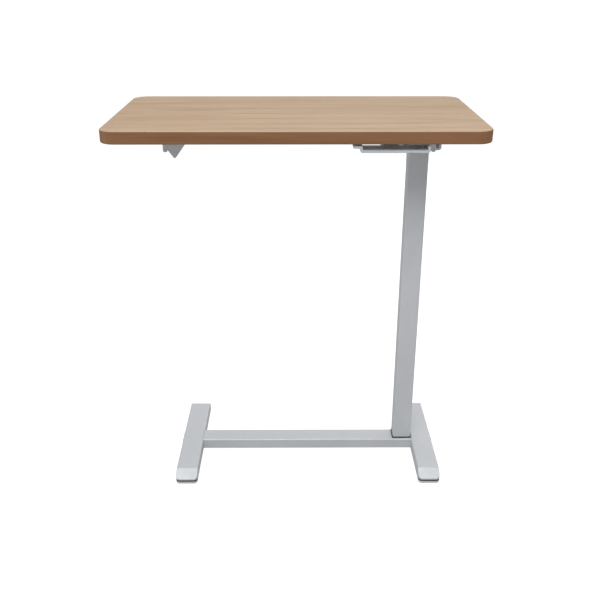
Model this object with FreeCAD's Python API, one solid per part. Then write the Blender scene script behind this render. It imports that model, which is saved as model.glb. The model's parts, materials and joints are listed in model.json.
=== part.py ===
# Overbed table: a wooden top cantilevered on a telescoping column that stands on an H-shaped steel base.
# Millimetres. +Z is up, +X runs along the long side, the user's long edge faces -Y.
# The origin is on the floor, under the middle of the top.
import FreeCAD, Part
import math
import os

os.makedirs("parts", exist_ok=True)

# --- driving dimensions -------------------------------------------------------------------------

# table top
top_width = 762.0
top_depth = 381.0
top_thickness = 26.0
table_height = 855.0
top_corner_radius = 32.0
top_edge_radius = 2.5

# base: two foot tubes along Y joined by a crossbar along X
foot_width = 50.5
foot_top = 32.0
foot_length = 274.0
foot_centre_y = 4.5
foot_left_setback = 145.0
foot_right_gap = 1.5
foot_edge_radius = 3.2
tube_wall = 2.0
crossbar_depth = 43.0
crossbar_height = 26.0
crossbar_edge_radius = 2.3

# sloped end caps of the foot tubes
toe_length = 20.0
toe_tip_top = 15.3
toe_corner_radius = 9.0
spigot_length = 22.0
spigot_wall = 2.5
insert_bottom = 8.4
insert_height = 3.8
insert_depth = 2.0

# glides
glide_radius = 15.0
glide_height = 1.5
glide_stem_radius = 4.0
glide_stem_length = 9.0
glide_inset = 26.0

# base bolts
bolt_radius = 4.0
bolt_head_radius = 6.5
bolt_head_height = 8.0
bolt_length = 14.0
end_plate_thickness = 12.0
foot_bolt_spread = 11.0
access_hole_radius = 8.0
plug_flange_radius = 10.0
plug_flange_height = 1.2
plug_depth = 6.0

# column
column_setback = 116.0
outer_tube_width = 44.0
outer_tube_depth = 36.0
outer_tube_top_gap = 6.0
outer_tube_radius = 3.5
gasket_thickness = 2.2
gasket_lip = 1.8
base_block_height = 16.0
column_bolt_wall_gap = 0.2
column_bolt_bite = 13.0
guide_wall = 2.0
inner_tube_radius = 3.0
inner_tube_rise = 69.8
guide_length = 50.0
guide_lip = 3.0
collar_height = 6.0

# gas spring
post_radius = 8.0
post_spigot_radius = 4.5
post_spigot_length = 10.0
rod_radius = 4.0
rod_spigot_length = 12.0
piston_setback = 36.0
piston_height = 12.0
cylinder_gap = 1.0
cylinder_wall = 1.5
cylinder_length = 415.0
rod_showing = 70.0
cylinder_end_cap = 12.0
neck_radius = 7.0
neck_rise = 7.0
lock_nut_flats = 19.0
lock_nut_height = 5.0
valve_pin_radius = 2.0
valve_pin_length = 16.0

# under-frame: two rails along X
rail_width = 25.0
rail_height = 20.0
rail_left_setback = 63.0
rail_saddle_lap = 8.0
rail_spacing = 56.0
rail_edge_radius = 2.0
rail_cap_thickness = 3.0
rail_cap_plug = 8.0
rail_screw_shares = (-0.85, -0.36, 0.13, 0.5)

# saddle: hat section between the column and the rails
saddle_wall = 5.0
saddle_drop = 29.0
saddle_side_gap = 7.0
saddle_flange_width = 18.0
saddle_corner_radius = 6.0

# head plate on top of the inner tube
head_plate_side = 13.0
head_plate_end = 16.0
head_plate_thickness = 5.0
head_bolt_inset = 8.0
small_bolt_radius = 3.0
small_head_radius = 5.0
small_head_height = 3.0
rivet_nut_radius = 4.5
rivet_nut_length = 8.0

# wood screws
wood_screw_radius = 2.25
wood_screw_head_radius = 4.5
wood_screw_head_height = 3.0
wood_screw_bite = 17.0

# accessory hooks
hook_setbacks = (138.3, 126.5)
hook_paddle_gap = 5.5
hook_base_length = 64.0
hook_base_width = 25.0
hook_base_thickness = 3.0
hook_tip_drop = 40.4
hook_tip_radius = 3.0
hook_half_angle = 36.0
hook_blade_thickness = 5.0
hook_reach = 16.0
hook_lip_height = 10.0
hook_peg_offset = 19.0
hook_peg_radius = 4.6
hook_peg_drop = 29.0
hook_screw_offset = 22.0

# release paddle: a shallow tray hung under the front edge of the top
paddle_setback = 5.0
paddle_depth = 45.0
paddle_inner_width = 126.5
paddle_column_offset = 11.5
paddle_wall = 4.6
paddle_gap = 4.5
paddle_drop = 17.5
paddle_ear_width = 12.8
paddle_corner_radius = 5.0
paddle_boss_depth = 12.0

# lever arm from the paddle to the valve pin
arm_column_offset = 75.0
arm_width = 20.0
arm_thickness = 4.0
arm_rail_gap = 1.5
arm_pivot_reach = 40.5
arm_bend_reach = 15.0
arm_turn_gap = 18.0
arm_tail = 9.0
arm_boss_radius = 6.0
arm_screw_spread = 5.0
arm_screw_radius = 2.0
pivot_pin_radius = 2.5
pivot_pin_head_radius = 4.5
pivot_pin_head_height = 1.5
bracket_gap = 29.0
bracket_wall = 2.5
bracket_length = 22.0
bracket_ear_drop = 8.0
bracket_screw_spread = 8.0
spring_wire_radius = 0.5
spring_turns = 2.5

# clearances
slide_gap = 0.3
running_gap = 0.05
hole_gap = 0.25
seat_gap = 0.1

# --- places worked out from the dimensions --------------------------------------------------------

underside = table_height - top_thickness
crossbar_bottom = foot_top - crossbar_height
foot_bottom = glide_height
column_x = top_width / 2 - column_setback
column_y = (crossbar_depth - outer_tube_depth) / 2
foot_inner_left_x = foot_left_setback - top_width / 2
foot_inner_right_x = column_x + outer_tube_width / 2 + foot_right_gap
inner_tube_width = outer_tube_width - 2 * (tube_wall + guide_wall)
inner_tube_depth = outer_tube_depth - 2 * (tube_wall + guide_wall)
outer_tube_bottom = foot_top + gasket_thickness
base_block_top = outer_tube_bottom + base_block_height
inner_tube_bottom = base_block_top + inner_tube_rise
column_bolt_spread = crossbar_depth / 2 - tube_wall - bolt_head_radius - column_bolt_wall_gap - column_y
rail_bottom = underside - rail_height
saddle_bottom = rail_bottom - saddle_drop
saddle_floor_top = saddle_bottom + saddle_wall
outer_tube_top = saddle_bottom - outer_tube_top_gap - collar_height
head_plate_width = inner_tube_width + 2 * head_plate_side
head_plate_depth = inner_tube_depth + 2 * head_plate_end
saddle_inner_width = head_plate_width + 2 * saddle_side_gap
cylinder_radius = inner_tube_depth / 2 - tube_wall - cylinder_gap
cylinder_bottom = saddle_floor_top - cylinder_length
post_top = cylinder_bottom - rod_showing
piston_bottom = saddle_floor_top - cylinder_end_cap - piston_setback - piston_height
head_plate_top = saddle_floor_top + head_plate_thickness
neck_top = head_plate_top + neck_rise
rail_places_y = (column_y - rail_spacing / 2, column_y + rail_spacing / 2)
rail_left_x = rail_left_setback - top_width / 2
rail_right_x = column_x + saddle_inner_width / 2 + saddle_wall + saddle_flange_width + rail_saddle_lap
rail_centre_x = (rail_left_x + rail_right_x) / 2
rail_screw_places = [rail_centre_x + share * (rail_right_x - rail_centre_x) for share in rail_screw_shares]
arm_top = rail_bottom - arm_rail_gap
arm_bottom = arm_top - arm_thickness
pivot_z = (arm_top + arm_bottom) / 2
paddle_front_y = -top_depth / 2 + paddle_setback
paddle_back_y = paddle_front_y + paddle_depth
paddle_bottom = underside - paddle_drop
paddle_top = underside - paddle_gap
paddle_inner_right_x = column_x - paddle_column_offset
paddle_inner_left_x = paddle_inner_right_x - paddle_inner_width
arm_x = column_x - arm_column_offset
arm_pivot_y = paddle_back_y + arm_pivot_reach
arm_bend_y = arm_pivot_y + arm_bend_reach
arm_turn_y = rail_places_y[0] - rail_width / 2 - arm_turn_gap
hook_places = (hook_setbacks[0] - top_width / 2, top_width / 2 - hook_setbacks[1])
hook_front_y = paddle_back_y + hook_paddle_gap


def vector(x, y, z):
    return FreeCAD.Vector(x, y, z)


def box(x0, x1, y0, y1, z0, z1):
    return Part.makeBox(x1 - x0, y1 - y0, z1 - z0, vector(x0, y0, z0))


def cylinder(radius, height, x, y, z, direction=(0, 0, 1)):
    return Part.makeCylinder(radius, height, vector(x, y, z), vector(*direction))


def runs_along(edge, axis):
    """True when a straight edge is parallel to the axis, 0 for X, 1 for Y, 2 for Z."""
    if edge.Curve.TypeId != "Part::GeomLine":
        return False
    run = edge.Vertexes[1].Point - edge.Vertexes[0].Point
    return abs(abs(run[axis]) - run.Length) < 1e-6


def round_long_edges(shape, axis, radius):
    return shape.makeFillet(radius, [edge for edge in shape.Edges if runs_along(edge, axis)])


def bar(x0, x1, y0, y1, z0, z1, axis, radius):
    """Solid bar whose four edges along the axis are rounded."""
    return round_long_edges(box(x0, x1, y0, y1, z0, z1), axis, radius)


def centred_bar(width, depth, z0, z1, radius):
    """Upright bar on the column's axis."""
    x0 = column_x - width / 2
    y0 = column_y - depth / 2
    return bar(x0, x0 + width, y0, y0 + depth, z0, z1, 2, radius)


def export(name, *solids):
    shape = solids[0] if len(solids) == 1 else Part.makeCompound(list(solids))
    for solid in shape.Solids:
        if not solid.isValid() or solid.Volume <= 0:
            raise ValueError("bad solid in " + name)
    if len(solids) == 1 and len(shape.Solids) != 1:
        raise ValueError(name + " is in pieces")
    shape.exportStep("parts/" + name + ".step")
    print(name, len(shape.Solids), round(shape.Volume / 1000, 2), "cm3")


def socket_bolt(radius, head_radius, head_height, length):
    """Bolt along +Z with its head's underside at z = 0 and a hexagon socket in the head."""
    shank = cylinder(radius, length, 0, 0, 0)
    head = cylinder(head_radius, head_height, 0, 0, -head_height)
    corners = [vector(radius * math.cos(math.radians(60 * k)), radius * math.sin(math.radians(60 * k)),
                      -head_height) for k in range(7)]
    socket = Part.Face(Part.makePolygon(corners)).extrude(vector(0, 0, head_height * 0.6))
    return shank.fuse(head).cut(socket)


def placed(shape, x, y, z, axis=(0, 0, 1), angle=0.0):
    copy = shape.copy()
    rotation = FreeCAD.Rotation(vector(*axis), angle)
    copy.Placement = FreeCAD.Placement(vector(x, y, z), rotation)
    return copy


# --- base -----------------------------------------------------------------------------------------

foot_spans = {
    "left": (foot_inner_left_x - foot_width, foot_inner_left_x),
    "right": (foot_inner_right_x, foot_inner_right_x + foot_width),
}
foot_ends = {"front": -1, "rear": 1}
foot_bolt_z = (crossbar_bottom + foot_top) / 2


def foot_end_y(end):
    return foot_centre_y + foot_ends[end] * foot_length / 2


def glide_places(side):
    x0, x1 = foot_spans[side]
    return [((x0 + x1) / 2, foot_end_y(end) - foot_ends[end] * (spigot_length + glide_inset), end)
            for end in foot_ends]


def foot_tube(side):
    x0, x1 = foot_spans[side]
    y0, y1 = foot_end_y("front"), foot_end_y("rear")
    tube = bar(x0, x1, y0, y1, foot_bottom, foot_top, 1, foot_edge_radius)
    inner = bar(x0 + tube_wall, x1 - tube_wall, y0 - 1, y1 + 1, foot_bottom + tube_wall,
                foot_top - tube_wall, 1, foot_edge_radius - tube_wall)
    tube = tube.cut(inner)
    for x, y, end in glide_places(side):
        tube = tube.cut(cylinder(glide_stem_radius + running_gap, 2 * tube_wall, x, y, foot_bottom - 1))
    inward = 1 if side == "left" else -1
    inner_face = x1 if side == "left" else x0
    outer_face = x0 if side == "left" else x1
    for y in (-foot_bolt_spread, foot_bolt_spread):
        start = inner_face - inward * 2 * tube_wall
        tube = tube.cut(cylinder(bolt_radius + hole_gap, 3 * tube_wall, start, y, foot_bolt_z,
                                 (inward, 0, 0)))
        start = outer_face - inward * tube_wall
        tube = tube.cut(cylinder(access_hole_radius + running_gap, 3 * tube_wall, start, y, foot_bolt_z,
                                 (inward, 0, 0)))
    return tube


def toe_plan(x0, x1, inset):
    """Plan of the toe about y = 0 at the tube's end, running to y = -toe_length, as a solid slab."""
    slab = box(x0 + inset, x1 - inset, -toe_length + inset, 0, foot_bottom, foot_top)
    front = [edge for edge in slab.Edges
             if runs_along(edge, 2) and edge.Vertexes[0].Point.y < -toe_length / 2]
    return slab.makeFillet(toe_corner_radius - inset, front)


def toe_slope():
    """Wedge that the sloped top of a toe leaves free, above a line from the crest to the tip."""
    crest = vector(-1000, 0, foot_top)
    tip = vector(-1000, -toe_length, toe_tip_top)
    above = vector(-1000, -toe_length, foot_top + 1)
    beside = vector(-1000, 0, foot_top + 1)
    return Part.Face(Part.makePolygon([crest, tip, above, beside, crest])).extrude(vector(2000, 0, 0))


def toe_groove(x0, x1):
    slab = toe_plan(x0, x1, 0).cut(toe_plan(x0, x1, insert_depth))
    front = box(x0 - 1, x1 + 1, -toe_length - 1, -toe_length + toe_corner_radius,
                insert_bottom, insert_bottom + insert_height)
    return slab.common(front)


def end_cap(side, end):
    x0, x1 = foot_spans[side]
    body = toe_plan(x0, x1, 0)
    sides = [edge for edge in body.Edges if runs_along(edge, 1)]
    body = body.makeFillet(foot_edge_radius * 0.95, sides)
    body = body.cut(toe_slope()).cut(toe_groove(x0, x1))
    inset = tube_wall + seat_gap
    spigot = bar(x0 + inset, x1 - inset, -1, spigot_length, foot_bottom + inset, foot_top - inset, 1,
                 foot_edge_radius - tube_wall)
    hollow = box(x0 + inset + spigot_wall, x1 - inset - spigot_wall, 0, spigot_length + 1,
                 foot_bottom + inset + spigot_wall, foot_top - inset - spigot_wall)
    return turn_to_end(body.fuse(spigot.cut(hollow)), side, end)


def turn_to_end(shape, side, end):
    """Moves a piece modelled at a front toe about y = 0 to the named end of the named foot."""
    if foot_ends[end] > 0:
        middle_x = sum(foot_spans[side]) / 2
        shape = shape.mirror(vector(middle_x, 0, 0), vector(0, 1, 0))
    shape = shape.copy()
    shape.translate(vector(0, foot_end_y(end), 0))
    return shape


def end_insert(side, end):
    return turn_to_end(toe_groove(*foot_spans[side]), side, end)


def glide(x, y):
    disc = cylinder(glide_radius, glide_height, x, y, 0)
    stem = cylinder(glide_stem_radius, glide_stem_length, x, y, glide_height)
    lower_rim = [edge for edge in disc.Edges if edge.Closed and edge.BoundBox.ZMax < 0.01]
    return disc.makeFillet(glide_height * 0.5, lower_rim).fuse(stem)


def crossbar():
    x0, x1 = foot_inner_left_x, foot_inner_right_x
    y0, y1 = -crossbar_depth / 2, crossbar_depth / 2
    tube = bar(x0, x1, y0, y1, crossbar_bottom, foot_top, 0, crossbar_edge_radius)
    inner = box(x0 - 1, x1 + 1, y0 + tube_wall, y1 - tube_wall, crossbar_bottom + tube_wall,
                foot_top - tube_wall)
    tube = tube.cut(inner)
    for y in column_bolt_places():
        tube = tube.cut(cylinder(bolt_radius + hole_gap, 2 * tube_wall, column_x, y,
                                 foot_top - tube_wall - 1))
        tube = tube.cut(cylinder(access_hole_radius, 2 * tube_wall, column_x, y, crossbar_bottom - 1))
    return tube


def crossbar_end_plate(side):
    face = foot_inner_left_x if side == "left" else foot_inner_right_x - end_plate_thickness
    y0, y1 = -crossbar_depth / 2 + tube_wall, crossbar_depth / 2 - tube_wall
    plate = box(face, face + end_plate_thickness, y0, y1, crossbar_bottom + tube_wall, foot_top - tube_wall)
    for y in (-foot_bolt_spread, foot_bolt_spread):
        hole = cylinder(bolt_radius + running_gap, end_plate_thickness + 2, face - 1, y, foot_bolt_z,
                        (1, 0, 0))
        plate = plate.cut(hole)
    return plate


def foot_bolts():
    bolt = socket_bolt(bolt_radius, bolt_head_radius, bolt_head_height, bolt_length)
    bolts = []
    for y in (-foot_bolt_spread, foot_bolt_spread):
        bolts.append(placed(bolt, foot_inner_left_x - tube_wall, y, foot_bolt_z, (0, 1, 0), 90))
        bolts.append(placed(bolt, foot_inner_right_x + tube_wall, y, foot_bolt_z, (0, 1, 0), -90))
    return bolts


def access_plugs():
    plug = cylinder(access_hole_radius, plug_depth, 0, 0, 0)
    flange = cylinder(plug_flange_radius, plug_flange_height, 0, 0, -plug_flange_height)
    plug = plug.fuse(flange).cut(cylinder(access_hole_radius - 1.5, plug_depth, 0, 0, 1))
    plugs = []
    for y in (-foot_bolt_spread, foot_bolt_spread):
        plugs.append(placed(plug, foot_spans["left"][0], y, foot_bolt_z, (0, 1, 0), 90))
        plugs.append(placed(plug, foot_spans["right"][1], y, foot_bolt_z, (0, 1, 0), -90))
    return plugs


# --- column ---------------------------------------------------------------------------------------

def column_bolt_places():
    return (column_y - column_bolt_spread, column_y + column_bolt_spread)


def column_gasket():
    """Thin black seat under the column, proud of it at the front and sides, flush at the back."""
    x0 = column_x - outer_tube_width / 2 - gasket_lip
    x1 = column_x + outer_tube_width / 2 + gasket_lip
    y0 = column_y - outer_tube_depth / 2 - gasket_lip
    y1 = column_y + outer_tube_depth / 2
    gasket = bar(x0, x1, y0, y1, foot_top, outer_tube_bottom, 2, outer_tube_radius)
    for y in column_bolt_places():
        gasket = gasket.cut(cylinder(bolt_radius + hole_gap, gasket_thickness + 2, column_x, y, foot_top - 1))
    return gasket


def outer_column():
    tube = centred_bar(outer_tube_width, outer_tube_depth, outer_tube_bottom, outer_tube_top,
                       outer_tube_radius)
    return tube.cut(outer_bore(outer_tube_bottom - 1, outer_tube_top + 1, 0))


def outer_bore(z0, z1, gap):
    inset = 2 * (tube_wall + gap)
    return centred_bar(outer_tube_width - inset, outer_tube_depth - inset, z0, z1,
                       outer_tube_radius - tube_wall)


def column_base_block():
    block = outer_bore(outer_tube_bottom, base_block_top, 0)
    for y in column_bolt_places():
        block = block.cut(cylinder(bolt_radius + running_gap, column_bolt_bite + 1, column_x, y,
                                   outer_tube_bottom - 1))
    return block.cut(cylinder(post_spigot_radius + running_gap, post_spigot_length + 1, column_x, column_y,
                              base_block_top - post_spigot_length))


def column_bolts():
    length = tube_wall + gasket_thickness + column_bolt_bite
    bolt = socket_bolt(bolt_radius, bolt_head_radius, bolt_head_height, length)
    return [placed(bolt, column_x, y, foot_top - tube_wall) for y in column_bolt_places()]


def upper_guide():
    sleeve = outer_bore(outer_tube_top - guide_length, outer_tube_top + 1, 0)
    collar = centred_bar(outer_tube_width, outer_tube_depth, outer_tube_top, outer_tube_top + collar_height,
                         outer_tube_radius)
    bore = centred_bar(inner_tube_width + 2 * slide_gap, inner_tube_depth + 2 * slide_gap,
                       outer_tube_top - guide_length - 1, outer_tube_top + collar_height + 1,
                       inner_tube_radius + slide_gap)
    return sleeve.fuse(collar).cut(bore)


def inner_column():
    tube = centred_bar(inner_tube_width, inner_tube_depth, inner_tube_bottom, saddle_floor_top,
                       inner_tube_radius)
    return tube.cut(inner_bore(inner_tube_bottom - 1, saddle_floor_top + 1))


def inner_bore(z0, z1):
    return centred_bar(inner_tube_width - 2 * tube_wall, inner_tube_depth - 2 * tube_wall, z0, z1,
                       inner_tube_radius - tube_wall)


def lower_guide():
    shoe = outer_bore(inner_tube_bottom - guide_lip, inner_tube_bottom + guide_length, slide_gap)
    tube = centred_bar(inner_tube_width, inner_tube_depth, inner_tube_bottom,
                       inner_tube_bottom + guide_length + 1, inner_tube_radius)
    return shoe.cut(tube).cut(inner_bore(inner_tube_bottom - guide_lip - 1, inner_tube_bottom + 1))


# --- gas spring -----------------------------------------------------------------------------------

def spring_post():
    post = cylinder(post_radius, post_top - base_block_top, column_x, column_y, base_block_top)
    spigot = cylinder(post_spigot_radius, post_spigot_length, column_x, column_y,
                      base_block_top - post_spigot_length)
    socket = cylinder(rod_radius + running_gap, rod_spigot_length + 1, column_x, column_y,
                      post_top - rod_spigot_length)
    return post.fuse(spigot).cut(socket)


def spring_rod():
    start = post_top - rod_spigot_length
    return cylinder(rod_radius, piston_bottom + piston_height - start, column_x, column_y, start)


def spring_piston():
    bore = cylinder_radius - cylinder_wall
    piston = cylinder(bore - slide_gap, piston_height, column_x, column_y, piston_bottom)
    return piston.cut(cylinder(rod_radius, piston_height + 2, column_x, column_y, piston_bottom - 1))


def gas_cylinder():
    body = cylinder(cylinder_radius, saddle_floor_top - cylinder_bottom, column_x, column_y, cylinder_bottom)
    neck = cylinder(neck_radius, neck_top - saddle_floor_top, column_x, column_y, saddle_floor_top)
    bore_bottom = cylinder_bottom + cylinder_end_cap
    bore_top = saddle_floor_top - cylinder_end_cap
    bore = cylinder(cylinder_radius - cylinder_wall, bore_top - bore_bottom, column_x, column_y, bore_bottom)
    rod_hole = cylinder(rod_radius + running_gap, cylinder_end_cap + 2, column_x, column_y,
                        cylinder_bottom - 1)
    pin_hole = cylinder(valve_pin_radius + running_gap, neck_top - bore_top + 2, column_x, column_y,
                        bore_top - 1)
    return body.fuse(neck).cut(bore).cut(rod_hole).cut(pin_hole)


def spring_lock_nut():
    across = lock_nut_flats / math.cos(math.radians(30)) / 2
    corners = [vector(column_x + across * math.cos(math.radians(60 * k)),
                      column_y + across * math.sin(math.radians(60 * k)), head_plate_top) for k in range(7)]
    nut = Part.Face(Part.makePolygon(corners)).extrude(vector(0, 0, lock_nut_height))
    return nut.cut(cylinder(neck_radius + running_gap, lock_nut_height + 2, column_x, column_y,
                            head_plate_top - 1))


def valve_pin():
    top = arm_bottom - seat_gap
    return cylinder(valve_pin_radius, valve_pin_length, column_x, column_y, top - valve_pin_length)


# --- head and under-frame -------------------------------------------------------------------------

def head_bolt_places():
    dx = head_plate_width / 2 - head_bolt_inset
    dy = head_plate_depth / 2 - head_bolt_inset
    return [(column_x + sx * dx, column_y + sy * dy) for sx in (-1, 1) for sy in (-1, 1)]


def head_plate():
    plate = centred_bar(head_plate_width, head_plate_depth, saddle_floor_top, head_plate_top, 4.0)
    plate = plate.cut(cylinder(neck_radius + running_gap, head_plate_thickness + 2, column_x, column_y,
                               saddle_floor_top - 1))
    for x, y in head_bolt_places():
        plate = plate.cut(cylinder(small_bolt_radius + hole_gap, head_plate_thickness + 2, x, y,
                                   saddle_floor_top - 1))
    return plate


def head_bolts():
    length = head_plate_thickness + saddle_wall
    bolt = socket_bolt(small_bolt_radius, small_head_radius, small_head_height + 1, length)
    return [placed(bolt, x, y, head_plate_top, (1, 0, 0), 180) for x, y in head_bolt_places()]


def saddle_bolt_places():
    reach = saddle_inner_width / 2 + saddle_wall + saddle_flange_width / 2
    return [(x, y) for x in (column_x - reach, column_x + reach) for y in rail_places_y]


def hat_section(x0, x1, y0, y1, bottom, top, wall, ears, radius):
    """Tray along Y with its walls outside x0..x1 and outward ears (left, right) at its top."""
    outer = box(x0 - wall, x1 + wall, y0, y1, bottom, top)
    lower = [edge for edge in outer.Edges if runs_along(edge, 1) and edge.BoundBox.ZMax < bottom + 1]
    outer = outer.makeFillet(radius, lower)
    inner = box(x0, x1, y0, y1, bottom + wall, top)
    lower = [edge for edge in inner.Edges if runs_along(edge, 1) and edge.BoundBox.ZMax < bottom + wall + 1]
    inner = inner.makeFillet(radius / 4, lower)
    shape = outer
    for ear, start in zip(ears, (x0 - wall - ears[0], x1 + wall / 2)):
        if ear > 0:
            shape = shape.fuse(box(start, start + ear + wall / 2, y0, y1, top - wall, top))
    return shape.cut(inner).removeSplitter()


def saddle():
    half = saddle_inner_width / 2
    y0 = rail_places_y[0] - rail_width / 2
    y1 = rail_places_y[1] + rail_width / 2
    shape = hat_section(column_x - half, column_x + half, y0, y1, saddle_bottom, rail_bottom, saddle_wall,
                        (saddle_flange_width, saddle_flange_width), saddle_corner_radius)
    clearance = 2 * hole_gap
    shape = shape.cut(centred_bar(inner_tube_width + clearance, inner_tube_depth + clearance,
                                  saddle_bottom - 1, saddle_floor_top + 1, inner_tube_radius))
    for x, y in head_bolt_places():
        shape = shape.cut(cylinder(small_bolt_radius + running_gap, saddle_wall + 2, x, y, saddle_bottom - 1))
    for x, y in saddle_bolt_places():
        shape = shape.cut(cylinder(small_bolt_radius + hole_gap, saddle_wall + 2, x, y,
                                   rail_bottom - saddle_wall - 1))
    return shape


def saddle_bolts():
    length = saddle_wall + tube_wall + rivet_nut_length
    bolt = socket_bolt(small_bolt_radius, small_head_radius, small_head_height, length)
    return [placed(bolt, x, y, rail_bottom - saddle_wall) for x, y in saddle_bolt_places()]


def rivet_nuts():
    nuts = []
    for x, y in saddle_bolt_places():
        sleeve = cylinder(rivet_nut_radius, tube_wall + rivet_nut_length, x, y, rail_bottom)
        bulge = cylinder(rivet_nut_radius + 1.5, 3, x, y, rail_bottom + tube_wall)
        bore = cylinder(small_bolt_radius + running_gap, tube_wall + rivet_nut_length + 2, x, y,
                        rail_bottom - 1)
        nuts.append(sleeve.fuse(bulge).cut(bore))
    return nuts


def rail(y):
    x0, x1 = rail_left_x, rail_right_x
    y0, y1 = y - rail_width / 2, y + rail_width / 2
    tube = bar(x0, x1, y0, y1, rail_bottom, underside, 0, rail_edge_radius)
    tube = tube.cut(box(x0 - 1, x1 + 1, y0 + tube_wall, y1 - tube_wall, rail_bottom + tube_wall,
                        underside - tube_wall))
    for x in rail_screw_places:
        tube = tube.cut(cylinder(wood_screw_radius + hole_gap, 2 * tube_wall, x, y,
                                 underside - tube_wall - 1))
        tube = tube.cut(cylinder(wood_screw_head_radius + 1, 2 * tube_wall, x, y, rail_bottom - 1))
    for x, bolt_y in saddle_bolt_places():
        if bolt_y == y:
            tube = tube.cut(cylinder(rivet_nut_radius, 2 * tube_wall, x, y, rail_bottom - 1))
    return tube


def rail_end_cap(side, y):
    x0, x1 = rail_left_x, rail_right_x
    face, inward = (x0, 1) if side == "left" else (x1, -1)
    outside = sorted((face, face - inward * rail_cap_thickness))
    inside = sorted((face - inward * rail_cap_thickness / 2, face + inward * rail_cap_plug))
    y0, y1 = y - rail_width / 2, y + rail_width / 2
    cover = bar(outside[0], outside[1], y0, y1, rail_bottom, underside, 0, rail_edge_radius)
    inset = tube_wall + seat_gap
    plug = box(inside[0], inside[1], y0 + inset, y1 - inset, rail_bottom + inset, underside - inset)
    return cover.fuse(plug)


def rail_screws_xy():
    return [(x, y) for x in rail_screw_places for y in rail_places_y]


def rail_screws():
    screw = socket_bolt(wood_screw_radius, wood_screw_head_radius, wood_screw_head_height,
                        tube_wall + wood_screw_bite)
    return [placed(screw, x, y, underside - tube_wall) for x, y in rail_screws_xy()]


def table_top():
    top = box(-top_width / 2, top_width / 2, -top_depth / 2, top_depth / 2, underside, table_height)
    top = round_long_edges(top, 2, top_corner_radius)
    rims = [edge for edge in top.Edges if not runs_along(edge, 2)]
    top = top.makeFillet(top_edge_radius, rims)
    for x, y in rail_screws_xy() + hook_screws_xy() + bracket_screws_xy():
        top = top.cut(cylinder(wood_screw_radius, wood_screw_bite + 1, x, y, underside - 1))
    return top


# --- accessory hooks ------------------------------------------------------------------------------

def hook_outward(place):
    return -1 if place < 0 else 1


def hook_screws_xy():
    """Two screws in each hook's base, behind the tongue."""
    y = hook_front_y + hook_reach + (hook_base_width - hook_reach) / 2
    return [(place + side * hook_screw_offset, y) for place in hook_places for side in (-1, 1)]


def hook_tongue(x):
    """V-shaped face with a rounded tip that hangs from the base, in the plane of the hook's front."""
    y0 = hook_front_y
    slope = math.radians(hook_half_angle)
    tip_centre_z = underside - hook_tip_drop + hook_tip_radius
    side_x = hook_tip_radius * math.cos(slope)
    side_z = tip_centre_z - hook_tip_radius * math.sin(slope)
    top_z = underside - hook_base_thickness / 2
    top_x = side_x + (top_z - side_z) * math.tan(slope)
    left = Part.LineSegment(vector(x - top_x, y0, top_z), vector(x - side_x, y0, side_z))
    tip = Part.Arc(vector(x - side_x, y0, side_z), vector(x, y0, tip_centre_z - hook_tip_radius),
                   vector(x + side_x, y0, side_z))
    right = Part.LineSegment(vector(x + side_x, y0, side_z), vector(x + top_x, y0, top_z))
    across = Part.LineSegment(vector(x + top_x, y0, top_z), vector(x - top_x, y0, top_z))
    outline = Part.Wire([line.toShape() for line in (left, tip, right, across)])
    return Part.Face(outline)


def hook(place):
    """Screwed base with a J-shaped tongue, V-shaped from the front, and a round peg outboard of it."""
    y0 = hook_front_y
    x0, x1 = place - hook_base_length / 2, place + hook_base_length / 2
    base_bottom = underside - hook_base_thickness
    base = bar(x0, x1, y0, y0 + hook_base_width, base_bottom, underside, 2, 3.0)
    face = hook_tongue(place)
    tip_z = underside - hook_tip_drop
    deep = face.extrude(vector(0, hook_reach, 0))
    tongue = face.extrude(vector(0, hook_blade_thickness, 0))
    trough = deep.common(box(x0, x1, y0, y0 + hook_reach, tip_z - 1, tip_z + hook_blade_thickness))
    lip = deep.common(box(x0, x1, y0 + hook_reach - hook_blade_thickness, y0 + hook_reach, tip_z - 1,
                          tip_z + hook_lip_height))
    peg_x = place + hook_outward(place) * hook_peg_offset
    peg_z = underside - hook_peg_drop
    peg = cylinder(hook_peg_radius, hook_peg_drop - hook_base_thickness / 2, peg_x,
                   y0 + hook_peg_radius, peg_z)
    rim = [edge for edge in peg.Edges if edge.Closed and edge.BoundBox.ZMax < peg_z + 0.01]
    peg = peg.makeFillet(hook_peg_radius * 0.7, rim)
    body = base.fuse([tongue, trough, lip, peg]).removeSplitter()
    for x, y in hook_screws_xy():
        body = body.cut(cylinder(wood_screw_radius + hole_gap, hook_base_thickness + 2, x, y,
                                 base_bottom - 1))
    return body


def hook_screws():
    screw = socket_bolt(wood_screw_radius, wood_screw_head_radius * 0.9, small_head_height * 0.7,
                        hook_base_thickness + wood_screw_bite * 0.8)
    return [placed(screw, x, y, underside - hook_base_thickness) for x, y in hook_screws_xy()]


# --- release paddle and its lever -----------------------------------------------------------------

def paddle_screws_xy():
    y = paddle_back_y - paddle_boss_depth / 2
    return [(arm_x - arm_screw_spread, y), (arm_x + arm_screw_spread, y)]


def release_paddle():
    """Tray open at the front, with an ear on its left wall and a boss below for the lever arm."""
    shape = hat_section(paddle_inner_left_x, paddle_inner_right_x, paddle_front_y, paddle_back_y,
                        paddle_bottom, paddle_top, paddle_wall, (paddle_ear_width, 0), paddle_corner_radius)
    half = arm_width / 2
    boss = box(arm_x - half, arm_x + half, paddle_back_y - paddle_boss_depth, paddle_back_y, arm_top,
               paddle_bottom + paddle_wall / 2)
    shape = shape.fuse(boss).removeSplitter()
    for x, y in paddle_screws_xy():
        shape = shape.cut(cylinder(arm_screw_radius + running_gap, paddle_bottom - arm_top + paddle_wall / 2,
                                   x, y, arm_top))
    return shape


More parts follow.
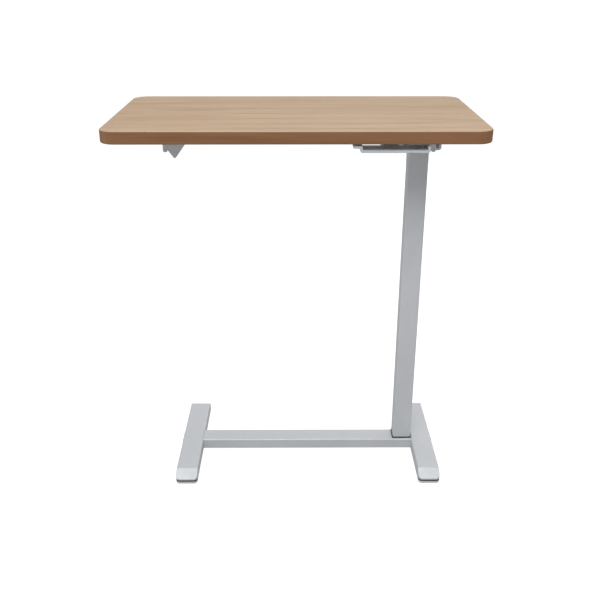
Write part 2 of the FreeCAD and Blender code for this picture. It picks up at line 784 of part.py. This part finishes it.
def lever_arm():
    """Flat strip: straight back from the paddle past the pivot, then across to the column's axis."""
    half = arm_width / 2
    y0 = paddle_back_y - paddle_boss_depth
    tail_y = column_y + arm_tail
    points = [(arm_x - half, y0), (arm_x + half, y0), (arm_x + half, arm_bend_y),
              (column_x + half, arm_turn_y - half / 2), (column_x + half, tail_y),
              (column_x - half, tail_y), (column_x - half, arm_turn_y + half / 2),
              (arm_x - half, arm_bend_y + half)]
    points.append(points[0])
    outline = Part.makePolygon([vector(x, y, arm_bottom) for x, y in points])
    shape = Part.Face(outline).extrude(vector(0, 0, arm_thickness))
    uprights = [edge for edge in shape.Edges if runs_along(edge, 2)]
    shape = shape.makeFillet(2.5, uprights)
    boss = cylinder(arm_boss_radius, arm_width, arm_x - half, arm_pivot_y, pivot_z, (1, 0, 0))
    shape = shape.fuse(boss)
    shape = shape.cut(cylinder(pivot_pin_radius + running_gap, arm_width + 2, arm_x - half - 1, arm_pivot_y,
                               pivot_z, (1, 0, 0)))
    for x, y in paddle_screws_xy():
        shape = shape.cut(cylinder(arm_screw_radius + hole_gap, arm_thickness + 2, x, y, arm_bottom - 1))
    return shape


def paddle_screws():
    length = arm_thickness + paddle_bottom - arm_top + paddle_wall / 2
    screw = socket_bolt(arm_screw_radius, arm_screw_radius * 1.8, 1.2, length)
    return [placed(screw, x, y, arm_bottom) for x, y in paddle_screws_xy()]


def bracket_ears_x():
    return arm_x - bracket_gap / 2 - bracket_wall, arm_x + bracket_gap / 2 + bracket_wall


def bracket_screws_xy():
    return [(arm_x, arm_pivot_y + side * bracket_screw_spread) for side in (-1, 1)]


def pivot_bracket():
    """Clevis screwed to the underside, its two ears hanging past the pivot."""
    x0, x1 = bracket_ears_x()
    y0, y1 = arm_pivot_y - bracket_length / 2 - 4, arm_pivot_y + bracket_length / 2 + 4
    bottom = pivot_z - bracket_ear_drop
    shape = box(x0, x1, y0, y1, bottom, underside)
    shape = shape.cut(box(x0 + bracket_wall, x1 - bracket_wall, y0 - 1, y1 + 1, bottom - 1,
                          underside - bracket_wall))
    corners = [edge for edge in shape.Edges if runs_along(edge, 0) and edge.BoundBox.ZMax < bottom + 1]
    shape = shape.makeFillet(6.0, corners)
    shape = shape.cut(cylinder(pivot_pin_radius + running_gap, x1 - x0 + 2, x0 - 1, arm_pivot_y, pivot_z,
                               (1, 0, 0)))
    for x, y in bracket_screws_xy():
        shape = shape.cut(cylinder(wood_screw_radius + hole_gap, bracket_wall + 2, x, y,
                                   underside - bracket_wall - 1))
    return shape


def bracket_screws():
    screw = socket_bolt(wood_screw_radius, wood_screw_head_radius, small_head_height * 0.7,
                        bracket_wall + wood_screw_bite * 0.8)
    return [placed(screw, x, y, underside - bracket_wall) for x, y in bracket_screws_xy()]


def pivot_pin():
    x0, x1 = bracket_ears_x()
    shank = cylinder(pivot_pin_radius, x1 - x0 + 3, x0, arm_pivot_y, pivot_z, (1, 0, 0))
    head = cylinder(pivot_pin_head_radius, pivot_pin_head_height, x0 - pivot_pin_head_height, arm_pivot_y,
                    pivot_z, (1, 0, 0))
    return shank.fuse(head)


def pivot_clip():
    x1 = bracket_ears_x()[1] + 0.5
    ring = cylinder(pivot_pin_head_radius, 0.8, x1, arm_pivot_y, pivot_z, (1, 0, 0))
    ring = ring.cut(cylinder(pivot_pin_radius, 2, x1 - 0.5, arm_pivot_y, pivot_z, (1, 0, 0)))
    mouth = box(x1 - 1, x1 + 2, arm_pivot_y - 1.6, arm_pivot_y + 1.6, pivot_z - 8, pivot_z)
    return ring.cut(mouth)


def return_spring():
    """Torsion spring on the pivot pin, between the arm's boss and the bracket's left ear."""
    radius = pivot_pin_radius + 2 * spring_wire_radius + 0.3
    pitch = 2 * spring_wire_radius + 0.1
    start_x = arm_x - arm_width / 2 - 0.8 - pitch * spring_turns
    helix = Part.makeHelix(pitch, pitch * spring_turns, radius)
    ring = Part.Wire(Part.makeCircle(spring_wire_radius, vector(radius, 0, 0), vector(0, 1, 0)))
    coil = Part.Wire(helix).makePipeShell([ring], True, True)
    return placed(coil, start_x, arm_pivot_y, pivot_z, (0, 1, 0), 90)


# --- export ---------------------------------------------------------------------------------------

for side in foot_spans:
    export(side + "_foot_tube", foot_tube(side))
    export(side + "_crossbar_plate", crossbar_end_plate(side))
    for end in foot_ends:
        export(side + "_" + end + "_end_cap", end_cap(side, end))
    for x, y, end in glide_places(side):
        export(side + "_" + end + "_glide", glide(x, y))
export("end_cap_inserts", *[end_insert(side, end) for side in foot_spans for end in foot_ends])
export("crossbar", crossbar())
export("foot_bolts", *foot_bolts())
export("access_plugs", *access_plugs())

export("column_gasket", column_gasket())
export("outer_column", outer_column())
export("column_base_block", column_base_block())
export("column_bolts", *column_bolts())
export("upper_guide", upper_guide())
export("inner_column", inner_column())
export("lower_guide", lower_guide())

export("spring_post", spring_post())
export("spring_rod", spring_rod())
export("spring_piston", spring_piston())
export("gas_cylinder", gas_cylinder())
export("spring_lock_nut", spring_lock_nut())
export("valve_pin", valve_pin())

export("head_plate", head_plate())
export("head_bolts", *head_bolts())
export("saddle", saddle())
export("saddle_bolts", *saddle_bolts())
export("rivet_nuts", *rivet_nuts())
for rail_name, rail_y in zip(("front", "rear"), rail_places_y):
    export(rail_name + "_rail", rail(rail_y))
    for side in foot_spans:
        export(side + "_" + rail_name + "_rail_cap", rail_end_cap(side, rail_y))
export("rail_screws", *rail_screws())
export("table_top", table_top())

export("left_hook", hook(hook_places[0]))
export("right_hook", hook(hook_places[1]))
export("hook_screws", *hook_screws())
export("release_paddle", release_paddle())
export("lever_arm", lever_arm())
export("paddle_screws", *paddle_screws())
export("pivot_bracket", pivot_bracket())
export("bracket_screws", *bracket_screws())
export("pivot_pin", pivot_pin())
export("pivot_clip", pivot_clip())
export("return_spring", return_spring())
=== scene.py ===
import json
import math

import bmesh
import bpy
from mathutils import Matrix, Vector

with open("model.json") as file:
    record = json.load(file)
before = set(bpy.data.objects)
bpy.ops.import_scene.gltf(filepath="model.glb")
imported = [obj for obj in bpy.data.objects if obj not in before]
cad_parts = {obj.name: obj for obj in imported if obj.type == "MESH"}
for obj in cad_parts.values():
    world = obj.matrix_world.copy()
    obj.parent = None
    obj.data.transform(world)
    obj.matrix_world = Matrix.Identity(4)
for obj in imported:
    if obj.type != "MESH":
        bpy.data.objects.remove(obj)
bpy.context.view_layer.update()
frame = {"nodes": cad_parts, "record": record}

# Overbed table. Metres, +Z up, the user's long edge faces -Y.
nodes = frame["nodes"]


# Small helpers for node trees

def startMaterial(name, constants):
    material = bpy.data.materials.new(name)
    material.use_nodes = True
    tree = material.node_tree
    shader = tree.nodes["Principled BSDF"]
    for socket, value in constants.items():
        shader.inputs[socket].default_value = value
    return material, tree, shader


def feed(tree, node, socket, value):
    if isinstance(value, bpy.types.NodeSocket):
        tree.links.new(value, node.inputs[socket])
    else:
        node.inputs[socket].default_value = value


def addNode(tree, kind, inputs, **settings):
    node = tree.nodes.new("ShaderNode" + kind)
    for name, value in settings.items():
        setattr(node, name, value)
    for socket, value in inputs.items():
        feed(tree, node, socket, value)
    return node


def objectCoords(tree):
    return addNode(tree, "TexCoord", {}).outputs["Object"]


def noise(tree, vector, scale, detail, roughness=0.5, distortion=0.0, stretch=(1, 1, 1)):
    place = addNode(tree, "Mapping", {"Vector": vector, "Scale": stretch}).outputs["Vector"]
    inputs = {"Vector": place, "Scale": scale, "Detail": detail,
              "Roughness": roughness, "Distortion": distortion}
    return addNode(tree, "TexNoise", inputs).outputs["Fac"]


# Nearly all of a noise lies in its spread, and most of that in its middle
noiseSpread = (0.30, 0.70)
noiseMiddle = (0.35, 0.65)


def remap(tree, value, low, high, newLow=0.0, newHigh=1.0):
    inputs = {"Value": value, "From Min": low, "From Max": high,
              "To Min": newLow, "To Max": newHigh}
    return addNode(tree, "MapRange", inputs).outputs["Result"]


def combine(tree, operation, first, second):
    return addNode(tree, "Math", {0: first, 1: second}, operation=operation).outputs["Value"]


def opaque(color):
    return (*color, 1.0)


# A Mix node repeats its sockets for each data type, so its colours go by number
mixInputs = {"amount": 0, "first": 6, "second": 7}
mixOutput = 2


def mixColors(tree, amount, first, second):
    node = addNode(tree, "Mix", {}, data_type="RGBA")
    feed(tree, node, mixInputs["amount"], amount)
    feed(tree, node, mixInputs["first"], first)
    feed(tree, node, mixInputs["second"], second)
    return node.outputs[mixOutput]


def twoTone(tree, pattern, finish):
    return mixColors(tree, remap(tree, pattern, *noiseMiddle),
                     opaque(finish["color"]), opaque(finish["shade"]))


def colorRamp(tree, value, stops, colors):
    node = addNode(tree, "ValToRGB", {"Fac": value})
    elements = node.color_ramp.elements
    while len(elements) < len(stops):
        elements.new(0.5)
    for element, (place, name) in zip(elements, stops):
        element.position = place
        element.color = opaque(colors[name])
    return node.outputs["Color"]


# Bevel settings for the lighter edge colour, which is partly worn finish and partly a painted
# highlight along edges.
edgeWearAndHighlight = {"samples": 6, "startTurn": 0.004, "fullTurn": 0.16}


# 0 on a flat face and 1 on a sharp edge, together with the rounded normal
def edgeAmount(tree, radius):
    rounded = addNode(tree, "Bevel", {"Radius": radius}, samples=edgeWearAndHighlight["samples"])
    geometry = addNode(tree, "NewGeometry", {})
    normals = {0: rounded.outputs["Normal"], 1: geometry.outputs["Normal"]}
    match = addNode(tree, "VectorMath", normals, operation="DOT_PRODUCT").outputs["Value"]
    amount = remap(tree, match, 1.0 - edgeWearAndHighlight["startTurn"], 1.0 - edgeWearAndHighlight["fullTurn"])
    return amount, rounded.outputs["Normal"]


def bumpFrom(tree, shader, height, distance, strength, normal=None):
    inputs = {"Height": height, "Distance": distance, "Strength": strength}
    if normal is not None:
        inputs["Normal"] = normal
    bump = addNode(tree, "Bump", inputs)
    tree.links.new(bump.outputs["Normal"], shader.inputs["Normal"])


# Finishes

laminate = {
    "light": (0.455, 0.325, 0.216),
    "middle": (0.410, 0.286, 0.184),
    "dark": (0.338, 0.224, 0.136),
    # The two side browns are painted shade: the sides of the top are the same film as its face.
    "shadedSideLight": (0.275, 0.132, 0.058),
    "shadedSideDark": (0.215, 0.098, 0.040),
    "backing": (0.600, 0.585, 0.560),
    "backingSpeck": (0.470, 0.452, 0.425),
    "ior": 1.5,
    "wander": {"scale": 2.0, "detail": 2.0, "stretch": (1.1, 4.0, 4.0)},
    "wanderReach": 0.012,
    "band": {"scale": 2.2, "detail": 3.0, "roughness": 0.55, "distortion": 0.6,
             "stretch": (1.0, 16.0, 16.0)},
    "bandShare": 0.62,
    "fibre": {"scale": 2.0, "detail": 5.0, "roughness": 0.62, "stretch": (3.0, 190.0, 190.0)},
    "fibreShare": 0.38,
    "pore": {"scale": 2.0, "detail": 2.0, "stretch": (16.0, 620.0, 620.0)},
    "poreRange": (0.62, 0.72),
    "poreShare": 0.42,
    "poreSink": 0.8,
    "faceStops": [(0.36, "dark"), (0.47, "middle"), (0.60, "light")],
    "shadedSideStops": [(0.38, "shadedSideDark"), (0.58, "shadedSideLight")],
    "sideShadeTilt": (0.45, 0.80),
    "backTilt": (-0.90, -0.97),
    "speck": {"scale": 420.0, "detail": 2.0},
    "speckRange": (0.45, 0.70),
    "smudge": {"scale": 9.0, "detail": 4.0, "roughness": 0.6},
    "rough": (0.34, 0.44),
    "fibreRough": 0.10,
    "grainDepth": 0.00022,
    "grainStrength": 0.55,
}


# The grain sways sideways a little, so that its lines wander
def wanderingCoords(tree):
    wander = noise(tree, objectCoords(tree), **laminate["wander"])
    reach = laminate["wanderReach"]
    sway = remap(tree, wander, 0.0, 1.0, -reach, reach)
    offset = addNode(tree, "CombineXYZ", {"Y": sway, "Z": sway}).outputs["Vector"]
    inputs = {0: objectCoords(tree), 1: offset}
    return addNode(tree, "VectorMath", inputs, operation="ADD").outputs["Vector"]


def woodLaminate():
    material, tree, shader = startMaterial("satinWoodLaminate", {"IOR": laminate["ior"]})
    bent = wanderingCoords(tree)
    band = noise(tree, bent, **laminate["band"])
    fibre = noise(tree, bent, **laminate["fibre"])
    pore = noise(tree, bent, **laminate["pore"])
    grain = combine(tree, "ADD", combine(tree, "MULTIPLY", band, laminate["bandShare"]),
                    combine(tree, "MULTIPLY", fibre, laminate["fibreShare"]))
    # Darker, more saturated brown for the sides of the top: painted shade.
    edge = colorRamp(tree, grain, laminate["shadedSideStops"], laminate)
    tick = remap(tree, pore, *laminate["poreRange"], 0.0, laminate["poreShare"])
    face = mixColors(tree, tick, colorRamp(tree, grain, laminate["faceStops"], laminate),
                     opaque(laminate["dark"]))
    spots = objectCoords(tree)
    speck = remap(tree, noise(tree, spots, **laminate["speck"]), *laminate["speckRange"])
    backing = mixColors(tree, speck, opaque(laminate["backing"]), opaque(laminate["backingSpeck"]))
    normal = addNode(tree, "NewGeometry", {}).outputs["Normal"]
    upward = addNode(tree, "SeparateXYZ", {"Vector": normal}).outputs["Z"]
    # Faces that lean away from up get the darker side brown as painted shade. The underside gets
    # the pale backing.
    color = mixColors(tree, remap(tree, upward, *laminate["sideShadeTilt"]), edge, face)
    color = mixColors(tree, remap(tree, upward, *laminate["backTilt"]), color, backing)
    tree.links.new(color, shader.inputs["Base Color"])
    smudge = noise(tree, spots, **laminate["smudge"])
    rough = combine(tree, "ADD", remap(tree, smudge, *noiseSpread, *laminate["rough"]),
                    combine(tree, "MULTIPLY", fibre, laminate["fibreRough"]))
    tree.links.new(rough, shader.inputs["Roughness"])
    sunk = combine(tree, "MULTIPLY", tick, laminate["poreSink"])
    bumpFrom(tree, shader, combine(tree, "SUBTRACT", fibre, sunk),
             laminate["grainDepth"], laminate["grainStrength"])
    return material


coatTexture = {
    "ior": 1.5, "coatRough": 0.22,
    "cloud": {"scale": 14.0, "detail": 4.0, "roughness": 0.6},
    "smoother": 0.04, "rougher": 0.05,
    "flake": {"scale": 2600.0, "detail": 1.0}, "flakeRange": (0.60, 0.75), "flakeShare": 0.5,
    "peel": {"detail": 2.0, "roughness": 0.45}, "peelStrength": 0.5,
    "scuff": {"scale": 160.0, "detail": 5.0, "roughness": 0.7},
    "scuffRange": (0.40, 0.62), "scuffLeast": 0.15, "wornRough": -0.08,
}


def powderCoat(name, paint):
    material, tree, shader = startMaterial(name, {
        "Metallic": paint["metallic"], "IOR": coatTexture["ior"],
        "Coat Weight": paint["coat"], "Coat Roughness": coatTexture["coatRough"]})
    spots = objectCoords(tree)
    cloud = noise(tree, spots, **coatTexture["cloud"])
    flake = noise(tree, spots, **coatTexture["flake"])
    peel = noise(tree, spots, paint["peelScale"], **coatTexture["peel"])
    scuff = noise(tree, spots, **coatTexture["scuff"])
    edge, roundNormal = edgeAmount(tree, paint["edge"])
    glint = remap(tree, flake, *coatTexture["flakeRange"], 0.0, coatTexture["flakeShare"])
    color = mixColors(tree, glint, twoTone(tree, cloud, paint), opaque(paint["flake"]))
    patchy = remap(tree, scuff, *coatTexture["scuffRange"], coatTexture["scuffLeast"], 1.0)
    # Edges turn lighter in patches: partly worn paint, partly a painted highlight along the edges.
    wornLitEdge = combine(tree, "MULTIPLY", edge, patchy)
    color = mixColors(tree, combine(tree, "MULTIPLY", wornLitEdge, paint["wearAndHighlight"]), color,
                      opaque(paint["wornLitEdge"]))
    tree.links.new(color, shader.inputs["Base Color"])
    rough = remap(tree, cloud, *noiseSpread, paint["rough"] - coatTexture["smoother"],
                  paint["rough"] + coatTexture["rougher"])
    polish = combine(tree, "MULTIPLY", wornLitEdge, coatTexture["wornRough"])
    tree.links.new(combine(tree, "ADD", rough, polish), shader.inputs["Roughness"])
    bumpFrom(tree, shader, peel, paint["peelDepth"], coatTexture["peelStrength"], roundNormal)
    return material


silverPaint = {
    "color": (0.660, 0.680, 0.708), "shade": (0.626, 0.646, 0.674), "flake": (0.80, 0.81, 0.83),
    "wornLitEdge": (0.82, 0.83, 0.845), "metallic": 0.25, "rough": 0.40, "coat": 0.12,
    "peelScale": 760.0, "peelDepth": 0.00016, "edge": 0.0011, "wearAndHighlight": 0.65,
}
paddlePaint = {
    "color": (0.600, 0.612, 0.630), "shade": (0.570, 0.582, 0.602), "flake": (0.72, 0.73, 0.75),
    "wornLitEdge": (0.76, 0.77, 0.78), "metallic": 0.15, "rough": 0.44, "coat": 0.08,
    "peelScale": 900.0, "peelDepth": 0.00012, "edge": 0.0008, "wearAndHighlight": 0.6,
}
blackEnamel = {
    "color": (0.022, 0.022, 0.024), "shade": (0.030, 0.030, 0.032), "flake": (0.05, 0.05, 0.052),
    "wornLitEdge": (0.16, 0.16, 0.165), "metallic": 0.0, "rough": 0.30, "coat": 0.25,
    "peelScale": 500.0, "peelDepth": 0.00010, "edge": 0.0008, "wearAndHighlight": 0.5,
}

mouldTexture = {
    "flow": {"scale": 20.0, "detail": 3.0, "distortion": 0.8}, "smoother": 0.05, "rougher": 0.06,
    "grit": {"detail": 2.0, "roughness": 0.6}, "gritShare": 0.5, "cellScaleShare": 0.7,
    "grainStrength": 0.5, "rubLeast": 0.2, "rubPolish": 0.08,
}


def mouldedPlastic(name, plastic):
    material, tree, shader = startMaterial(name, {
        "IOR": plastic["ior"], "Metallic": plastic["metallic"]})
    spots = objectCoords(tree)
    flow = noise(tree, spots, stretch=plastic["flow"], **mouldTexture["flow"])
    grit = noise(tree, spots, plastic["grainScale"], **mouldTexture["grit"])
    cellScale = plastic["grainScale"] * mouldTexture["cellScaleShare"]
    cells = addNode(tree, "TexVoronoi", {"Vector": spots, "Scale": cellScale},
                    feature="F1").outputs["Distance"]
    edge, roundNormal = edgeAmount(tree, plastic["edge"])
    patchy = remap(tree, grit, *noiseMiddle, mouldTexture["rubLeast"], 1.0)
    # Edges turn lighter in patches: partly rubbed plastic, partly a painted highlight along the
    # edges.
    rubAndHighlight = combine(tree, "MULTIPLY", edge, patchy)
    color = mixColors(tree, combine(tree, "MULTIPLY", rubAndHighlight, plastic["wearAndHighlight"]),
                      twoTone(tree, flow, plastic), opaque(plastic["wornLitEdge"]))
    tree.links.new(color, shader.inputs["Base Color"])
    rough = remap(tree, flow, *noiseSpread, plastic["rough"] - mouldTexture["smoother"],
                  plastic["rough"] + mouldTexture["rougher"])
    polish = combine(tree, "MULTIPLY", rubAndHighlight, mouldTexture["rubPolish"])
    tree.links.new(combine(tree, "SUBTRACT", rough, polish), shader.inputs["Roughness"])
    grain = combine(tree, "ADD", cells, combine(tree, "MULTIPLY", grit, mouldTexture["gritShare"]))
    bumpFrom(tree, shader, grain, plastic["grainDepth"], mouldTexture["grainStrength"], roundNormal)
    return material


silverPlastic = {
    "color": (0.650, 0.668, 0.694), "shade": (0.620, 0.638, 0.664), "wornLitEdge": (0.76, 0.77, 0.79),
    "rough": 0.46, "metallic": 0.10, "ior": 1.49, "flow": (1, 1, 3),
    "grainScale": 1100.0, "grainDepth": 0.00012, "edge": 0.0009, "wearAndHighlight": 0.5,
}
hookPlastic = {
    "color": (0.640, 0.655, 0.672), "shade": (0.615, 0.630, 0.648), "wornLitEdge": (0.74, 0.75, 0.76),
    "rough": 0.36, "metallic": 0.0, "ior": 1.49, "flow": (2, 1, 1),
    "grainScale": 1400.0, "grainDepth": 0.00006, "edge": 0.0009, "wearAndHighlight": 0.4,
}
darkPlastic = {
    "color": (0.040, 0.040, 0.044), "shade": (0.055, 0.055, 0.060), "wornLitEdge": (0.12, 0.12, 0.125),
    "rough": 0.48, "metallic": 0.0, "ior": 1.48, "flow": (1, 2, 1),
    "grainScale": 1200.0, "grainDepth": 0.00010, "edge": 0.0006, "wearAndHighlight": 0.5,
}
glideNylon = {
    "color": (0.070, 0.070, 0.074), "shade": (0.092, 0.092, 0.096), "wornLitEdge": (0.20, 0.20, 0.20),
    "rough": 0.55, "metallic": 0.0, "ior": 1.53, "flow": (1, 1, 1),
    "grainScale": 700.0, "grainDepth": 0.00014, "edge": 0.0008, "wearAndHighlight": 0.8,
}
blackRubber = {
    "color": (0.018, 0.018, 0.020), "shade": (0.030, 0.030, 0.032), "wornLitEdge": (0.075, 0.075, 0.078),
    "rough": 0.72, "metallic": 0.0, "ior": 1.5, "flow": (1, 1, 1),
    "grainScale": 900.0, "grainDepth": 0.00020, "edge": 0.0006, "wearAndHighlight": 0.5,
}

steelTexture = {
    "drawn": {"scale": 6.0, "detail": 4.0, "roughness": 0.65}, "smoother": 0.05, "rougher": 0.07,
    "cloud": {"detail": 4.0, "roughness": 0.6}, "cloudRough": (-0.03, 0.05),
    "wearHighlightShare": 0.5, "lineStrength": 0.4,
}


def platedSteel(name, steel):
    material, tree, shader = startMaterial(name, {"Metallic": 1.0})
    spots = objectCoords(tree)
    drawn = noise(tree, spots, stretch=steel["lines"], **steelTexture["drawn"])
    cloud = noise(tree, spots, steel["cloudScale"], **steelTexture["cloud"])
    edge, roundNormal = edgeAmount(tree, steel["edge"])
    # Edges turn lighter: partly worn plating, partly a painted highlight along the edges.
    color = mixColors(tree, combine(tree, "MULTIPLY", edge, steelTexture["wearHighlightShare"]),
                      twoTone(tree, cloud, steel), opaque(steel["wornLitEdge"]))
    tree.links.new(color, shader.inputs["Base Color"])
    rough = remap(tree, drawn, *noiseSpread, steel["rough"] - steelTexture["smoother"],
                  steel["rough"] + steelTexture["rougher"])
    uneven = remap(tree, cloud, *noiseSpread, *steelTexture["cloudRough"])
    tree.links.new(combine(tree, "ADD", rough, uneven), shader.inputs["Roughness"])
    bumpFrom(tree, shader, drawn, steel["lineDepth"], steelTexture["lineStrength"], roundNormal)
    return material


zincSteel = {
    "color": (0.60, 0.60, 0.585), "shade": (0.52, 0.525, 0.53), "wornLitEdge": (0.72, 0.72, 0.71),
    "rough": 0.34, "lines": (60, 60, 60), "lineDepth": 0.00005, "cloudScale": 220.0, "edge": 0.0005,
}
bareSteel = {
    "color": (0.47, 0.465, 0.455), "shade": (0.40, 0.395, 0.385), "wornLitEdge": (0.60, 0.60, 0.59),
    "rough": 0.38, "lines": (90, 90, 4), "lineDepth": 0.00005, "cloudScale": 90.0, "edge": 0.0006,
}
innerChrome = {
    "color": (0.74, 0.75, 0.765), "shade": (0.70, 0.71, 0.73), "wornLitEdge": (0.84, 0.845, 0.85),
    "rough": 0.20, "lines": (170, 170, 1.2), "lineDepth": 0.00004, "cloudScale": 40.0,
    "edge": 0.0008,
}

finishes = {
    "wood_top": woodLaminate(),
    "silver_paint": powderCoat("silverPowderCoat", silverPaint),
    "paddle_paint": powderCoat("paddlePowderCoat", paddlePaint),
    "black_paint": powderCoat("blackEnamel", blackEnamel),
    "silver_plastic": mouldedPlastic("silverMouldedPlastic", silverPlastic),
    "hook_plastic": mouldedPlastic("hookMouldedPlastic", hookPlastic),
    "dark_plastic": mouldedPlastic("darkAcetal", darkPlastic),
    "glide_nylon": mouldedPlastic("glideNylon", glideNylon),
    "black_rubber": mouldedPlastic("blackRubber", blackRubber),
    "zinc_steel": platedSteel("zincPlatedSteel", zincSteel),
    "bare_steel": platedSteel("plainSteel", bareSteel),
    "inner_chrome": platedSteel("brightDrawnSteel", innerChrome),
}
print("finishes made:", len(finishes))


# Each node wears the finish of its slot in the record

for part in frame["record"]["subparts"]:
    skin = nodes[part["node"]].data.materials
    skin.clear()
    skin.append(finishes[part["material_slot"]])


# Floor, light and camera

studio = {
    "floorSize": 30.0,
    "floorWhite": 0.28,
    "floorRough": 0.9,
    "floorSheen": 0.1,
    "floorGlow": 0.93,
    "floorLight": 0.22,
    "skyLight": 0.30,
    "skySeen": 1.0,
    "white": (1.0, 1.0, 1.0, 1.0),
}
lamps = {
    "overheadSoftbox": {"place": (0.2, 0.5, 3.0), "target": (0.1, 0.0, 0.4),
                        "size": (3.2, 2.4), "power": 46.0},
    "frontSoftbox": {"place": (-0.2, -2.0, 2.9), "target": (0.0, 0.0, 0.2),
                     "size": (3.0, 1.4), "power": 62.0},
    "leftSoftbox": {"place": (-2.8, -0.6, 1.2), "target": (0.0, 0.0, 0.4),
                    "size": (1.6, 2.0), "power": 10.0},
    "backSoftbox": {"place": (0.8, 2.8, 0.6), "target": (0.0, 0.0, 0.4),
                    "size": (2.6, 0.9), "power": 14.0},
}
mainView = {
    "place": (-0.0013, -1.57028, 1.16176),
    "yaw": 0.004956,
    "pitch": 0.381079,
    "roll": 0.00025,
    "sensorWidth": 36.0,
    "lens": 44.202,
    "shiftX": 0.0011,
    "shiftY": -0.08,
    "clipNear": 0.05,
    "clipFar": 60.0,
}


# The floor and sky are seen brighter than the light they give, so that they stay white
def brighterToCamera(tree, given, shown):
    seen = addNode(tree, "LightPath", {}).outputs["Is Camera Ray"]
    return remap(tree, seen, 0.0, 1.0, given, shown)


def pourFloor():
    mesh = bpy.data.meshes.new("studioFloor")
    shape = bmesh.new()
    bmesh.ops.create_grid(shape, x_segments=1, y_segments=1, size=studio["floorSize"])
    shape.to_mesh(mesh)
    shape.free()
    floor = bpy.data.objects.new("studioFloor", mesh)
    bpy.context.scene.collection.objects.link(floor)
    material, tree, shader = startMaterial("paleFloor", {
        "Base Color": opaque([studio["floorWhite"]] * 3), "Roughness": studio["floorRough"],
        "Specular IOR Level": studio["floorSheen"], "Emission Color": studio["white"]})
    strength = brighterToCamera(tree, studio["floorLight"], studio["floorGlow"])
    feed(tree, shader, "Emission Strength", strength)
    mesh.materials.append(material)


def hangLamp(name, settings):
    lamp = bpy.data.lights.new(name, "AREA")
    lamp.shape = "RECTANGLE"
    lamp.size, lamp.size_y = settings["size"]
    lamp.energy = settings["power"]
    holder = bpy.data.objects.new(name, lamp)
    bpy.context.scene.collection.objects.link(holder)
    holder.location = settings["place"]
    aim = Vector(settings["target"]) - Vector(settings["place"])
    holder.rotation_euler = aim.to_track_quat("-Z", "Y").to_euler()


def openSky():
    world = bpy.data.worlds.new("studioSky")
    world.use_nodes = True
    tree = world.node_tree
    background = tree.nodes["Background"]
    feed(tree, background, "Color", studio["white"])
    strength = brighterToCamera(tree, studio["skyLight"], studio["skySeen"])
    feed(tree, background, "Strength", strength)
    bpy.context.scene.world = world


def setCamera():
    data = bpy.data.cameras.new("mainCamera")
    data.sensor_width = mainView["sensorWidth"]
    data.lens = mainView["lens"]
    data.shift_x = mainView["shiftX"]
    data.shift_y = mainView["shiftY"]
    data.clip_start, data.clip_end = mainView["clipNear"], mainView["clipFar"]
    camera = bpy.data.objects.new("mainCamera", data)
    bpy.context.scene.collection.objects.link(camera)
    turn = (Matrix.Rotation(-mainView["yaw"], 4, "Z")
            @ Matrix.Rotation(math.pi / 2 - mainView["pitch"], 4, "X")
            @ Matrix.Rotation(mainView["roll"], 4, "Z"))
    camera.matrix_world = Matrix.Translation(mainView["place"]) @ turn
    bpy.context.scene.camera = camera


pourFloor()
for lampName, lampSettings in lamps.items():
    hangLamp(lampName, lampSettings)
openSky()
bpy.context.scene.view_settings.view_transform = "Standard"
setCamera()
print("studio ready")
